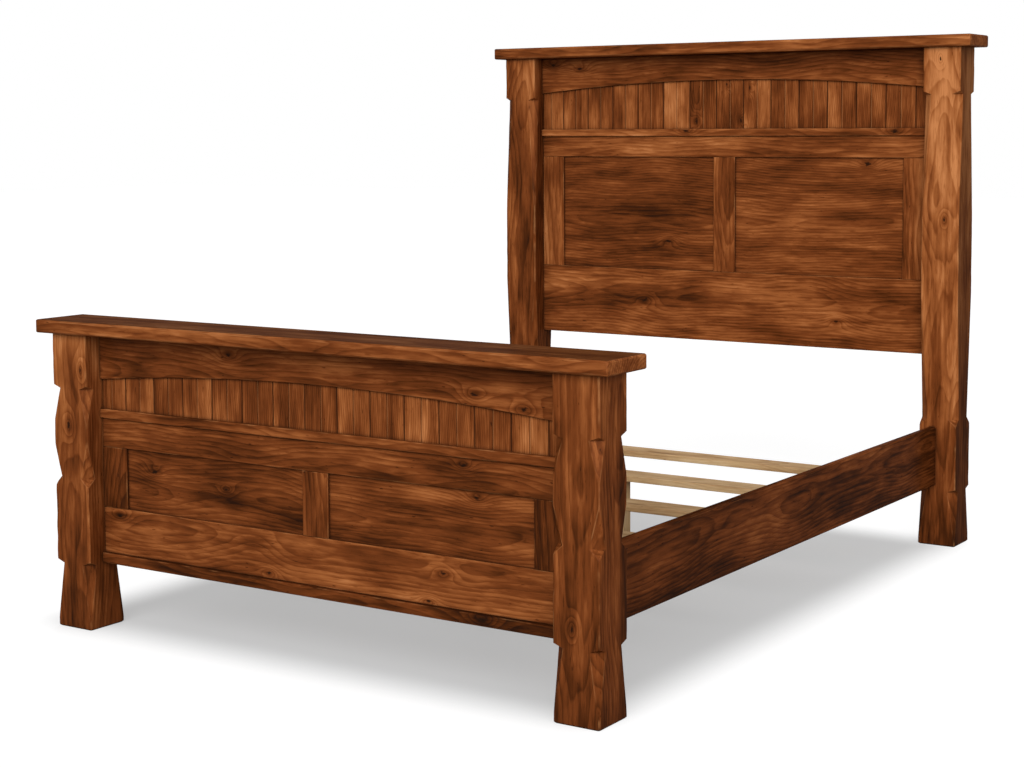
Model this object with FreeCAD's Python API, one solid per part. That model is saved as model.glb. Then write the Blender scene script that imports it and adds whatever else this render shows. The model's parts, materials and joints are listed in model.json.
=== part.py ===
import FreeCAD, Part
import math
import os

# A rustic panel bed frame in millimetres. X runs across the bed, Y from the foot to the head and Z up.
# The origin is on the floor, at the middle of the overall box.

# Whole frame
BED_WIDTH = 1720.0          # over the outer faces of the posts
RAIL_SPAN = 2086.0          # between the footboard posts and the headboard posts
POST = 124.0                # square section of every post
FOOT_POST_HEIGHT = 803.0
HEAD_POST_HEIGHT = 1597.0

# Carved corners: a chamfer that starts at the floor, stops below the block, and swells out again above it
CARVE_LEG = 27.0            # width of the chamfer on each face where it is deepest
ANKLE_HEIGHT = 176.0        # from the floor to the deepest point of the lower chamfer
CARVE_STOP = 9.0            # height of the steep stop that ends a chamfer
BLOCK_HEIGHT = 203.0        # square block that takes the side rails
BLOCK_LEDGE = 23.0          # height of the sloped ledge on top of that block
TOP_BLOCK = 140.0           # square block under the cap
SWELL_ROUND = 0.55          # roundness of the swell: 0 is a sharp ridge, 1 is one long arc

# Caps
FOOT_CAP_THICK = 36.0
HEAD_CAP_THICK = 38.0
CAP_SIDE_OVERHANG = 38.0
FOOT_CAP_OVERHANG = 25.0
HEAD_CAP_OVERHANG = 20.0
CAP_EDGE_BEVEL = 4.0
DOWEL_RADIUS = 6.0
DOWEL_IN_CAP = 22.0
DOWEL_IN_POST = 30.0
DOWEL_SPACING = 60.0

# Panel work of both ends, seen from the front
PANEL_SET = 69.0            # from the front faces of the posts to the middle of the panel work
ARCH_DEPTH = 125.0          # arched rail at its ends
ARCH_RISE = 37.0
FOOT_PLANK_SHOW = 79.0      # boards that show under the ends of the arch
HEAD_PLANK_SHOW = 130.0
LEDGE_HEIGHT = 25.0
FOOT_TOP_RAIL = 78.0
HEAD_TOP_RAIL = 72.0
FOOT_PANEL_SHOW = 165.0
HEAD_PANEL_SHOW = 395.0
FOOT_BOTTOM_RAIL = 124.0
HEAD_BOTTOM_RAIL = 240.0
BASE_STRIP_HEIGHT = 28.0
STILE_WIDTH = 87.0
MUNTIN_WIDTH = 82.0

# Panel work, thicknesses and joints
ARCH_THICK = 34.0
LEDGE_THICK = 38.0
FRAME_THICK = 22.0
BASE_STRIP_THICK = 44.0
PANEL_THICK = 6.5
GROOVE_DEPTH = 9.0
PANEL_FLOAT = 1.0           # room for a panel to swell in its groove
TENON_LENGTH = 45.0
TENON_THICK = 12.0
TENON_SHOULDER = 15.0
FIT = 0.15                  # glue room on each side of a tenon, tongue, dowel or screw

# Tongue-and-groove boards
PLANK_THICK = 16.0
PLANK_FACE = 103.0          # from joint to joint
FIRST_PLANK = 86.0          # the ripped board beside the left post
PLANK_SEAT = 10.0           # lower ends, let into the ledge strip
PLANK_COVER = 12.0          # upper ends, above the crown of the arch
EDGE_BEVEL = 2.5
CENTRE_V_WIDTH = 4.0
CENTRE_V_DEPTH = 2.0
TONGUE_LENGTH = 6.0
TONGUE_THICK = 5.0

# Side rails, cleats and slats
RAIL_BOTTOM = 195.0
RAIL_HEIGHT = 190.0
RAIL_THICK = 25.0
RAIL_INSET = 67.0           # from the outer face of the posts
RAIL_END_GAP = 0.4
RAIL_EDGE_BEVEL = 4.0
CLEAT_WIDTH = 32.0
CLEAT_HEIGHT = 38.0
CLEAT_LIFT = 10.0           # above the lower edge of the rail
CLEAT_SHORT = 40.0          # kept back from each end of the rail
CLEAT_SCREWS = 5
CLEAT_SCREW_LENGTH = 50.0
CLEAT_SCREW_INSET = 90.0
SLAT_COUNT = 5
SLAT_WIDTH = 89.0
SLAT_THICK = 19.0
SLAT_INSET = 200.0          # from the posts to the first and last slat
SLAT_END_GAP = 4.0

# Hook-on rail hardware
PLATE_LENGTH = 140.0
PLATE_WIDTH = 16.0
PLATE_THICK = 3.0
HOOK_SPACING = 60.0
HOOK_THICK = 4.0
HOOK_NECK = 10.0
HOOK_DROP = 14.0
HOOK_LIP = 4.0
HOOK_TIP_BEVEL = 2.0
HOOK_PLAY = 0.4
RAIL_LIFT = 15.0            # lift that frees the hooks
POCKET_ROOM = 2.0
PLATE_SCREW_INSET = 9.0
PLATE_SCREW_LENGTH = 34.0

# Screws
SCREW_RADIUS = 2.2
SCREW_HEAD_RADIUS = 4.4
SCREW_HEAD_DEPTH = 2.4
SCREW_TIP = 5.0
SCREW_TIP_RADIUS = 0.5
SCREW_SIDES = 8             # small turned pieces have flat facets
DOWEL_SIDES = 12
PAD_SIDES = 24

# Centre legs and their levelling feet
LEG = 45.0
LEG_CLEARANCE = 36.0        # from the floor to the wood
LEG_SCREW_LENGTH = 62.0
LEG_SCREW_SPACING = 24.0
STUD_RADIUS = 4.0
STUD_HEIGHT = 70.0          # top of the stud above the floor
STUD_RUNNING_FIT = 0.05
STUD_TRAVEL_ROOM = 26.0     # bore above the stud
INSERT_RADIUS = 5.5
INSERT_LENGTH = 16.0
INSERT_FLANGE_RADIUS = 11.0
INSERT_FLANGE_THICK = 1.5
BORE_RADIUS = 4.6
NUT_ACROSS_FLATS = 13.0
NUT_HEIGHT = 6.0
NUT_SIDES = 6
PAD_RADIUS = 20.0
PAD_RIM = 4.0
PAD_HEIGHT = 12.0
PAD_TOP_RADIUS = 13.0
SOCKET_DEPTH = 7.0
BALL_RADIUS = 5.0
SWIVEL_PLAY = 0.1
SEAT_PLAY = 0.2

# Places worked out from the sizes above
OVERALL_LENGTH = FOOT_CAP_OVERHANG + 2 * POST + RAIL_SPAN + HEAD_CAP_OVERHANG
FOOT_FRONT = FOOT_CAP_OVERHANG - OVERALL_LENGTH / 2
FOOT_BACK = FOOT_FRONT + POST
HEAD_FRONT = FOOT_BACK + RAIL_SPAN
HALF_OPENING = BED_WIDTH / 2 - POST
POST_X = BED_WIDTH / 2 - POST / 2
RAIL_X = BED_WIDTH / 2 - RAIL_INSET - RAIL_THICK / 2
RAIL_MIDDLE = RAIL_BOTTOM + RAIL_HEIGHT / 2
CLEAT_TOP = RAIL_BOTTOM + CLEAT_LIFT + CLEAT_HEIGHT
SLAT_TOP = CLEAT_TOP + SLAT_THICK
SIDES = {"left": -1, "right": 1}

nodes = {}


def box(x_range, y_range, z_range):
    """A box between the given limits, in either order."""
    limits = [sorted(pair) for pair in (x_range, y_range, z_range)]
    low = FreeCAD.Vector(*[pair[0] for pair in limits])
    size = [pair[1] - pair[0] for pair in limits]
    return Part.makeBox(*size, low)


def around(middle, width):
    """The two limits of a width about its middle."""
    return (middle - width / 2, middle + width / 2)


def turned(rings, sides):
    """A turned piece about Z with flat facets, from (radius, height) rings."""
    def corners(radius, height):
        angles = [2 * math.pi * i / sides for i in range(sides + 1)]
        return [FreeCAD.Vector(radius * math.cos(a), radius * math.sin(a), height) for a in angles]

    loops = [corners(radius, height) for radius, height in rings]
    faces = [Part.Face(Part.makePolygon(loops[0])), Part.Face(Part.makePolygon(loops[-1]))]
    for lower, upper in zip(loops, loops[1:]):
        for i in range(sides):
            facet = [lower[i], lower[i + 1], upper[i + 1], upper[i], lower[i]]
            faces.append(Part.Face(Part.makePolygon(facet)))
    solid = Part.makeSolid(Part.makeShell(faces))
    if solid.Volume < 0:
        solid.reverse()
    return solid


def clear_radius(radius, sides):
    """The ring radius of a faceted bore whose flats clear a round of the given radius."""
    return radius / math.cos(math.pi / sides)


def moved(shape, x, y, z):
    """The same shape in another place."""
    copy = shape.copy()
    copy.translate(FreeCAD.Vector(x, y, z))
    return copy


def wood_screw(length, room=0.0):
    """A countersunk screw with its head at the origin, pointing down. Room makes it the hole for one."""
    return turned([
        (SCREW_HEAD_RADIUS + room, 0),
        (SCREW_RADIUS + room, -SCREW_HEAD_DEPTH),
        (SCREW_RADIUS + room, -length + SCREW_TIP),
        (SCREW_TIP_RADIUS + room, -length - room),
    ], SCREW_SIDES)


def screw_towards(point, direction, length, room=0.0):
    """A screw with its head at a point, driven along a direction."""
    screw = wood_screw(length, room)
    turn = FreeCAD.Rotation(FreeCAD.Vector(0, 0, -1), FreeCAD.Vector(*direction))
    screw.Placement = FreeCAD.Placement(FreeCAD.Vector(*point), turn)
    return screw


# Posts

def corner_cutter(outline):
    """The waste of one carved corner. The outline is made of edges in the upright plane through that corner."""
    face = Part.Face(Part.Wire(outline))
    face.translate(FreeCAD.Vector(0, -CARVE_LEG, 0))
    return face.extrude(FreeCAD.Vector(0, 2 * CARVE_LEG, 0))


def carved_post(height):
    """A post on its own axis: square blocks, a chamfered ankle, and a shaft whose chamfers swell out midway."""
    corner = POST / math.sqrt(2)
    depth = CARVE_LEG / math.sqrt(2)
    outside = corner + depth

    def at(cut, z):
        return FreeCAD.Vector(corner - cut, 0, z)

    def line(start, end):
        return Part.LineSegment(start, end).toShape()

    # Ankle: straight from the floor to a steep stop
    ankle_stop = ANKLE_HEIGHT + CARVE_STOP
    ankle = Part.makePolygon([at(0, 0), at(depth, ANKLE_HEIGHT), at(0, ankle_stop), at(0, 0)])

    # Shaft: two straight slopes that are tangent to the arc of the swell
    block_top = ankle_stop + BLOCK_HEIGHT
    low = block_top + BLOCK_LEDGE
    high = height - TOP_BLOCK - CARVE_STOP
    middle = (low + high) / 2
    half = middle - low
    radius = SWELL_ROUND * (half ** 2 + depth ** 2) / (2 * depth)
    reach = math.hypot(half, radius - depth)
    slope = math.atan2(radius - depth, half) - math.asin(radius / reach)
    straight = math.sqrt(reach ** 2 - radius ** 2)
    touch_rise = straight * math.cos(slope)
    touch_cut = depth + straight * math.sin(slope)
    swell = Part.Arc(at(touch_cut, low + touch_rise), at(0, middle), at(touch_cut, high - touch_rise))
    shaft = [
        line(at(0, block_top), at(depth, low)),
        line(at(depth, low), at(touch_cut, low + touch_rise)),
        swell.toShape(),
        line(at(touch_cut, high - touch_rise), at(depth, high)),
        line(at(depth, high), at(0, high + CARVE_STOP)),
        line(at(0, high + CARVE_STOP), FreeCAD.Vector(outside, 0, high + CARVE_STOP)),
        line(FreeCAD.Vector(outside, 0, high + CARVE_STOP), FreeCAD.Vector(outside, 0, block_top)),
        line(FreeCAD.Vector(outside, 0, block_top), at(0, block_top)),
    ]

    waste = []
    for cutter in (corner_cutter(ankle.Edges), corner_cutter(shaft)):
        for quarter in range(4):
            corner_waste = cutter.copy()
            corner_waste.rotate(FreeCAD.Vector(0, 0, 0), FreeCAD.Vector(0, 0, 1), 45 + 90 * quarter)
            waste.append(corner_waste)
    timber = box(around(0, POST), around(0, POST), (0, height))
    return timber.cut(waste)


def tenon(side, middle, z_range, room=0.0):
    """The tenon of a cross rail in the post of one side. Room makes it the mortise."""
    inner = HALF_OPENING * side
    tip = (HALF_OPENING + TENON_LENGTH + room) * side
    return box((inner, tip), around(middle, TENON_THICK + 2 * room), (z_range[0] - room, z_range[1] + room))


# Hook-on hardware, worked out on the axis of a rail. The outward direction is +1 at the head and -1 at the foot.

def hook_heights():
    """The undersides of the necks of the two hooks."""
    return [RAIL_MIDDLE + step * HOOK_SPACING / 2 for step in (-1, 1)]


def plate_screw_heights():
    """The two screws of a plate."""
    reach = PLATE_LENGTH / 2 - PLATE_SCREW_INSET
    return [RAIL_MIDDLE - reach, RAIL_MIDDLE + reach]


def plate(x, face, outward, room=0.0):
    """A plate let in flush behind a face. Room makes it the recess."""
    depth = (face, face - outward * (PLATE_THICK + room))
    return box(around(x, PLATE_WIDTH + 2 * room), depth, around(RAIL_MIDDLE, PLATE_LENGTH + 2 * room))


def hook_plate(x, rail_end, outward):
    """The plate in the end of a rail, with two hooks that point out of it and down."""
    neck_end = RAIL_END_GAP + PLATE_THICK + HOOK_PLAY
    tip_end = neck_end + HOOK_LIP
    shape = plate(x, rail_end, outward)
    for height in hook_heights():
        outline = [
            (-PLATE_THICK / 2, height),
            (neck_end, height),
            (neck_end, height - HOOK_DROP + HOOK_TIP_BEVEL),
            (neck_end + HOOK_TIP_BEVEL, height - HOOK_DROP),
            (tip_end, height - HOOK_DROP),
            (tip_end, height + HOOK_NECK),
            (-PLATE_THICK / 2, height + HOOK_NECK),
        ]
        points = [FreeCAD.Vector(x - HOOK_THICK / 2, rail_end + outward * out, z) for out, z in outline]
        hook = Part.Face(Part.makePolygon(points + points[:1])).extrude(FreeCAD.Vector(HOOK_THICK, 0, 0))
        shape = shape.fuse(hook)
    holes = plate_screws(x, rail_end, -outward, FIT)
    return shape.cut(holes).removeSplitter()


def plate_screws(x, face, inward, room=0.0):
    """The two screws that hold a plate, driven inward from its face."""
    return [
        screw_towards((x, face, height), (0, inward, 0), PLATE_SCREW_LENGTH, room)
        for height in plate_screw_heights()
    ]


def hook_slots(x, post_face, outward, depth_range, side_room, drop):
    """The two upright openings that take the hooks, between two depths behind the face of a post."""
    top = HOOK_NECK + RAIL_LIFT + 2 * HOOK_PLAY
    depths = [post_face + outward * depth for depth in depth_range]
    return [
        box(around(x, HOOK_THICK + 2 * side_room), depths, (height - drop, height + top))
        for height in hook_heights()
    ]


def hook_socket(x, post_face, outward):
    """The slotted plate in a post. The necks of the hooks rest on the lower ends of its slots."""
    shape = plate(x, post_face, -outward)
    slots = hook_slots(x, post_face, outward, (0, PLATE_THICK), HOOK_PLAY, 0)
    return shape.cut(slots + plate_screws(x, post_face, outward, FIT))


def socket_waste(x, post_face, outward):
    """What is cut out of a post for a socket plate, its screws and the tips of the hooks."""
    pocket_end = PLATE_THICK + HOOK_PLAY + HOOK_LIP + POCKET_ROOM
    pockets = hook_slots(
        x, post_face, outward, (PLATE_THICK, pocket_end), HOOK_PLAY + POCKET_ROOM, HOOK_DROP + POCKET_ROOM
    )
    screws = plate_screws(x, post_face, outward, FIT)
    return [plate(x, post_face, -outward, FIT)] + pockets + screws


# Headboard and footboard

def cap_dowels(front, height, room=0.0):
    """Two dowels in the top of each post of one end. Room makes them the bores."""
    middle = front + POST / 2
    length = DOWEL_IN_CAP + DOWEL_IN_POST + 2 * room
    dowel = turned([(DOWEL_RADIUS + room, 0), (DOWEL_RADIUS + room, length)], DOWEL_SIDES)
    return [
        moved(dowel, side * POST_X, middle + step * DOWEL_SPACING / 2, height - DOWEL_IN_POST - room)
        for side in SIDES.values()
        for step in (-1, 1)
    ]


def cap(front, height, thick, overhang):
    """The flat board on top of one end, with eased edges."""
    reach = BED_WIDTH / 2 + CAP_SIDE_OVERHANG
    board = box((-reach, reach), (front - overhang, front + POST + overhang), (height, height + thick))
    eased = board.makeChamfer(CAP_EDGE_BEVEL, board.Edges)
    return eased.cut(cap_dowels(front, height, FIT))


def arched_rail(middle, height, plank_top, tenon_range):
    """The rail under a cap. Its lower edge is one arc, and a slot from below takes the boards."""
    low = height - ARCH_DEPTH
    front = middle - ARCH_THICK / 2
    corners = [
        FreeCAD.Vector(HALF_OPENING, front, low),
        FreeCAD.Vector(HALF_OPENING, front, height),
        FreeCAD.Vector(-HALF_OPENING, front, height),
        FreeCAD.Vector(-HALF_OPENING, front, low),
    ]
    arch = Part.Arc(corners[3], FreeCAD.Vector(0, front, low + ARCH_RISE), corners[0]).toShape()
    outline = Part.Wire([arch] + Part.makePolygon(corners).Edges)
    rail = Part.Face(outline).extrude(FreeCAD.Vector(0, ARCH_THICK, 0))
    span = (-HALF_OPENING, HALF_OPENING)
    slot = box(span, around(middle, PLANK_THICK + 2 * FIT), (low, plank_top + FIT))
    tenons = [tenon(side, middle, tenon_range) for side in SIDES.values()]
    return rail.cut(slot).fuse(tenons).removeSplitter()


def plank(x_low, x_high, middle, z_range, has_groove, has_tongue):
    """One tongue-and-groove board, upright: bevelled face edges, and a V down the middle of a full board."""
    front = middle - PLANK_THICK / 2
    back = middle + PLANK_THICK / 2
    left = x_low + FIT
    right = x_high - FIT
    half_groove = TONGUE_THICK / 2 + FIT
    half_tongue = TONGUE_THICK / 2
    outline = [(left, front + EDGE_BEVEL), (left + EDGE_BEVEL, front)]
    if x_high - x_low > PLANK_FACE / 2 + CENTRE_V_WIDTH + EDGE_BEVEL:
        centre = x_low + PLANK_FACE / 2
        if not has_groove:
            centre = x_high - PLANK_FACE / 2
        outline += [
            (centre - CENTRE_V_WIDTH / 2, front),
            (centre, front + CENTRE_V_DEPTH),
            (centre + CENTRE_V_WIDTH / 2, front),
        ]
    outline += [(right - EDGE_BEVEL, front), (right, front + EDGE_BEVEL)]
    if has_tongue:
        tip = x_high + TONGUE_LENGTH
        outline += [
            (right, middle - half_tongue),
            (tip, middle - half_tongue),
            (tip, middle + half_tongue),
            (right, middle + half_tongue),
        ]
    outline += [(right, back), (left, back)]
    if has_groove:
        bottom = x_low + TONGUE_LENGTH + FIT
        outline += [
            (left, middle + half_groove),
            (bottom, middle + half_groove),
            (bottom, middle - half_groove),
            (left, middle - half_groove),
        ]
    points = [FreeCAD.Vector(x, y, z_range[0]) for x, y in outline]
    face = Part.Face(Part.makePolygon(points + points[:1]))
    return face.extrude(FreeCAD.Vector(0, 0, z_range[1] - z_range[0]))


def plank_field(middle, z_range):
    """The boards between two posts: a ripped board on the left, full boards, and what is left on the right."""
    joints = [-HALF_OPENING, FIRST_PLANK - HALF_OPENING]
    while joints[-1] + PLANK_FACE < HALF_OPENING - TONGUE_LENGTH:
        joints.append(joints[-1] + PLANK_FACE)
    joints.append(HALF_OPENING)
    last = len(joints) - 2
    return [
        plank(joints[i], joints[i + 1], middle, z_range, i > 0, i < last)
        for i in range(last + 1)
    ]


def groove(x_range, z_range, middle):
    """The groove for a panel, along an edge of a frame piece."""
    return box(x_range, around(middle, PANEL_THICK + 2 * FIT), z_range)


def frame_rail(middle, z_range, grooved_edge):
    """A cross rail of the frame: tenons into the posts, and a groove along its upper or lower edge."""
    span = (-HALF_OPENING, HALF_OPENING)
    rail = box(span, around(middle, FRAME_THICK), z_range)
    inwards = GROOVE_DEPTH if grooved_edge == z_range[0] else -GROOVE_DEPTH
    rail = rail.cut(groove(span, (grooved_edge, grooved_edge + inwards), middle))
    tenon_range = (z_range[0] + TENON_SHOULDER, z_range[1] - TENON_SHOULDER)
    tenons = [tenon(side, middle, tenon_range) for side in SIDES.values()]
    return rail.fuse(tenons).removeSplitter()


def frame_upright(x_range, middle, z_range, grooved_sides):
    """A stile or muntin between the cross rails, with stub tenons in their grooves and grooves for the panels."""
    upright = box(x_range, around(middle, FRAME_THICK), z_range)
    stub = GROOVE_DEPTH - PANEL_FLOAT
    stub_x = list(x_range)
    grooves = []
    for side in grooved_sides:
        edge = x_range[1] if side > 0 else x_range[0]
        inner = edge - side * GROOVE_DEPTH
        stub_x[1 if side > 0 else 0] = inner
        grooves.append(groove((edge, inner), z_range, middle))
    stubs = box(stub_x, around(middle, PANEL_THICK), (z_range[0] - stub, z_range[1] + stub))
    return upright.cut(grooves).fuse(stubs).removeSplitter()


def build_end(name, front, height, plank_show, top_rail, panel_show, bottom_rail):
    """The wooden pieces of the headboard or the footboard. Returns the height of its lower edge."""
    middle = front + PANEL_SET
    arch_low = height - ARCH_DEPTH
    plank_top = arch_low + ARCH_RISE + PLANK_COVER
    ledge_top = arch_low - plank_show
    ledge_low = ledge_top - LEDGE_HEIGHT
    open_top = ledge_low - top_rail
    open_low = open_top - panel_show
    lower_edge = open_low - bottom_rail
    arch_tenon = (plank_top + TENON_SHOULDER, height - TENON_SHOULDER)
    span = (-HALF_OPENING, HALF_OPENING)

    nodes[name + "_arched_rail"] = arched_rail(middle, height, plank_top, arch_tenon)
    planks = plank_field(middle, (ledge_top - PLANK_SEAT, plank_top))
    nodes[name + "_planks"] = Part.makeCompound(planks)

    ledge = box(span, around(middle, LEDGE_THICK), (ledge_low, ledge_top))
    seat = box(span, around(middle, PLANK_THICK + 2 * FIT), (ledge_top - PLANK_SEAT, ledge_top))
    nodes[name + "_ledge_strip"] = ledge.cut(seat)

    nodes[name + "_top_rail"] = frame_rail(middle, (open_top, ledge_low), open_top)
    nodes[name + "_bottom_rail"] = frame_rail(middle, (lower_edge, open_low), open_low)

    opening = (open_low, open_top)
    inner = HALF_OPENING - STILE_WIDTH
    half_muntin = MUNTIN_WIDTH / 2
    nodes[name + "_left_stile"] = frame_upright((-HALF_OPENING, -inner), middle, opening, [1])
    nodes[name + "_right_stile"] = frame_upright((inner, HALF_OPENING), middle, opening, [-1])
    nodes[name + "_muntin"] = frame_upright((-half_muntin, half_muntin), middle, opening, [-1, 1])
    lap = GROOVE_DEPTH - PANEL_FLOAT
    for side_name, side in SIDES.items():
        panel_x = (side * (half_muntin - lap), side * (inner + lap))
        panel = box(panel_x, around(middle, PANEL_THICK), (open_low - lap, open_top + lap))
        nodes[name + "_" + side_name + "_panel"] = panel

    tenon_ranges = [
        arch_tenon,
        (open_top + TENON_SHOULDER, ledge_low - TENON_SHOULDER),
        (lower_edge + TENON_SHOULDER, open_low - TENON_SHOULDER),
    ]
    outward = 1 if name == "headboard" else -1
    rail_face = front if name == "headboard" else front + POST
    for side_name, side in SIDES.items():
        post = moved(carved_post(height), side * POST_X, front + POST / 2, 0)
        waste = [tenon(side, middle, z_range, FIT) for z_range in tenon_ranges]
        waste += cap_dowels(front, height, FIT)
        waste += socket_waste(side * RAIL_X, rail_face, outward)
        nodes[name + "_" + side_name + "_post"] = post.cut(waste)

    sockets = [hook_socket(side * RAIL_X, rail_face, outward) for side in SIDES.values()]
    nodes[name + "_hook_sockets"] = Part.makeCompound(sockets)
    return lower_edge


build_end(
    "headboard", HEAD_FRONT, HEAD_POST_HEIGHT,
    HEAD_PLANK_SHOW, HEAD_TOP_RAIL, HEAD_PANEL_SHOW, HEAD_BOTTOM_RAIL,
)
nodes["headboard_cap"] = cap(HEAD_FRONT, HEAD_POST_HEIGHT, HEAD_CAP_THICK, HEAD_CAP_OVERHANG)

foot_edge = build_end(
    "footboard", FOOT_FRONT, FOOT_POST_HEIGHT,
    FOOT_PLANK_SHOW, FOOT_TOP_RAIL, FOOT_PANEL_SHOW, FOOT_BOTTOM_RAIL,
)
nodes["footboard_cap"] = cap(FOOT_FRONT, FOOT_POST_HEIGHT, FOOT_CAP_THICK, FOOT_CAP_OVERHANG)
nodes["footboard_base_strip"] = box(
    (-HALF_OPENING, HALF_OPENING),
    around(FOOT_FRONT + PANEL_SET, BASE_STRIP_THICK),
    (foot_edge - BASE_STRIP_HEIGHT, foot_edge),
)
dowels = cap_dowels(HEAD_FRONT, HEAD_POST_HEIGHT) + cap_dowels(FOOT_FRONT, FOOT_POST_HEIGHT)
nodes["cap_dowels"] = Part.makeCompound(dowels)


# Side rails, with a cleat along the inside of each and a hook plate let into each end

rail_ends = {-1: FOOT_BACK + RAIL_END_GAP, 1: HEAD_FRONT - RAIL_END_GAP}
post_faces = {-1: FOOT_BACK, 1: HEAD_FRONT}
cleat_y = (rail_ends[-1] + CLEAT_SHORT, rail_ends[1] - CLEAT_SHORT)
cleat_z = (CLEAT_TOP - CLEAT_HEIGHT, CLEAT_TOP)
screw_reach = (cleat_y[1] - cleat_y[0]) / 2 - CLEAT_SCREW_INSET
screw_pitch = 2 * screw_reach / (CLEAT_SCREWS - 1)
screw_y = [(cleat_y[0] + cleat_y[1]) / 2 - screw_reach + i * screw_pitch for i in range(CLEAT_SCREWS)]
cleat_face = RAIL_X - RAIL_THICK / 2 - CLEAT_WIDTH


def cleat_screws(side, room=0.0):
    """The screws through one cleat into its rail."""
    middle = CLEAT_TOP - CLEAT_HEIGHT / 2
    return [
        screw_towards((side * cleat_face, y, middle), (side, 0, 0), CLEAT_SCREW_LENGTH, room)
        for y in screw_y
    ]


hook_screws = []
socket_screws = []
for side_name, side in SIDES.items():
    x = side * RAIL_X
    board = box(around(x, RAIL_THICK), list(rail_ends.values()), (RAIL_BOTTOM, RAIL_BOTTOM + RAIL_HEIGHT))
    long_edges = [edge for edge in board.Edges if edge.BoundBox.YLength > RAIL_SPAN / 2]
    board = board.makeChamfer(RAIL_EDGE_BEVEL, long_edges)
    waste = cleat_screws(side, FIT)
    hooks = []
    for outward, end in rail_ends.items():
        hooks.append(hook_plate(x, end, outward))
        waste.append(plate(x, end, outward, FIT))
        waste += plate_screws(x, end, -outward, FIT)
        hook_screws += plate_screws(x, end, -outward)
        socket_screws += plate_screws(x, post_faces[outward], outward)
    nodes[side_name + "_side_rail"] = board.cut(waste)
    nodes[side_name + "_rail_hooks"] = Part.makeCompound(hooks)
    strip_x = (side * cleat_face, side * (cleat_face + CLEAT_WIDTH))
    nodes[side_name + "_cleat"] = box(strip_x, cleat_y, cleat_z).cut(cleat_screws(side, FIT))

nodes["cleat_screws"] = Part.makeCompound(cleat_screws(-1) + cleat_screws(1))
nodes["hook_plate_screws"] = Part.makeCompound(hook_screws)
nodes["socket_plate_screws"] = Part.makeCompound(socket_screws)


# Slats, and a leg with a levelling foot under each of the slats between the first and the last

slat_half = RAIL_X - RAIL_THICK / 2 - SLAT_END_GAP
first_slat = FOOT_BACK + SLAT_INSET + SLAT_WIDTH / 2
last_slat = HEAD_FRONT - SLAT_INSET - SLAT_WIDTH / 2
slat_pitch = (last_slat - first_slat) / (SLAT_COUNT - 1)


def leg_screws(y, room=0.0):
    """The two screws down through a slat into its leg."""
    return [
        screw_towards((step * LEG_SCREW_SPACING / 2, y, SLAT_TOP), (0, 0, -1), LEG_SCREW_LENGTH, room)
        for step in (-1, 1)
    ]


def leg(y):
    """A square leg under a slat, bored from below for the insert and the stud."""
    post = box(around(0, LEG), around(y, LEG), (LEG_CLEARANCE, CLEAT_TOP))
    insert_bore = clear_radius(INSERT_RADIUS + FIT, DOWEL_SIDES)
    stud_bore = clear_radius(BORE_RADIUS, DOWEL_SIDES)
    insert_top = LEG_CLEARANCE + INSERT_LENGTH + FIT
    bore_top = STUD_HEIGHT + STUD_TRAVEL_ROOM
    bores = [
        turned([(insert_bore, LEG_CLEARANCE), (insert_bore, insert_top)], DOWEL_SIDES),
        turned([(stud_bore, LEG_CLEARANCE), (stud_bore, bore_top)], DOWEL_SIDES),
    ]
    return post.cut([moved(bore, 0, y, 0) for bore in bores] + leg_screws(y, FIT))


def threaded_insert():
    """The flanged insert in the foot of a leg."""
    flange_low = LEG_CLEARANCE - INSERT_FLANGE_THICK
    barrel_top = LEG_CLEARANCE + INSERT_LENGTH
    bore = clear_radius(STUD_RADIUS + STUD_RUNNING_FIT, DOWEL_SIDES)
    flange = turned([(INSERT_FLANGE_RADIUS, flange_low), (INSERT_FLANGE_RADIUS, LEG_CLEARANCE)], PAD_SIDES)
    barrel = turned([(INSERT_RADIUS, flange_low), (INSERT_RADIUS, barrel_top)], DOWEL_SIDES)
    hollow = turned([(bore, flange_low), (bore, barrel_top)], DOWEL_SIDES)
    return flange.fuse(barrel).cut(hollow).removeSplitter()


def swivel_pad():
    """The moulded pad that stands on the floor, with a socket for the foot of the stud."""
    pad = turned([(PAD_RADIUS, 0), (PAD_RADIUS, PAD_RIM), (PAD_TOP_RADIUS, PAD_HEIGHT)], PAD_SIDES)
    socket = Part.makeCylinder(BALL_RADIUS + SWIVEL_PLAY, SOCKET_DEPTH)
    return pad.cut(moved(socket, 0, 0, PAD_HEIGHT - SOCKET_DEPTH))


def levelling_stud():
    """The stud: a round foot in the pad, a nut to turn it by, and the shank in the insert."""
    nut_low = PAD_HEIGHT + SEAT_PLAY
    nut_top = nut_low + NUT_HEIGHT
    corner = clear_radius(NUT_ACROSS_FLATS / 2, NUT_SIDES)
    nut = turned([(corner, nut_low), (corner, nut_top)], NUT_SIDES)
    foot = moved(Part.makeCylinder(BALL_RADIUS, SOCKET_DEPTH), 0, 0, nut_low - SOCKET_DEPTH)
    shank = moved(Part.makeCylinder(STUD_RADIUS, STUD_HEIGHT - nut_top), 0, 0, nut_top)
    return nut.fuse([foot, shank]).removeSplitter()


for i in range(SLAT_COUNT):
    number = str(i + 1)
    y = first_slat + i * slat_pitch
    slat = box((-slat_half, slat_half), around(y, SLAT_WIDTH), (CLEAT_TOP, SLAT_TOP))
    if 0 < i < SLAT_COUNT - 1:
        slat = slat.cut(leg_screws(y, FIT))
        nodes["leg_" + number] = leg(y)
        nodes["leg_screws_" + number] = Part.makeCompound(leg_screws(y))
        nodes["leg_insert_" + number] = moved(threaded_insert(), 0, y, 0)
        nodes["levelling_stud_" + number] = moved(levelling_stud(), 0, y, 0)
        nodes["swivel_pad_" + number] = moved(swivel_pad(), 0, y, 0)
    nodes["slat_" + number] = slat


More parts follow.
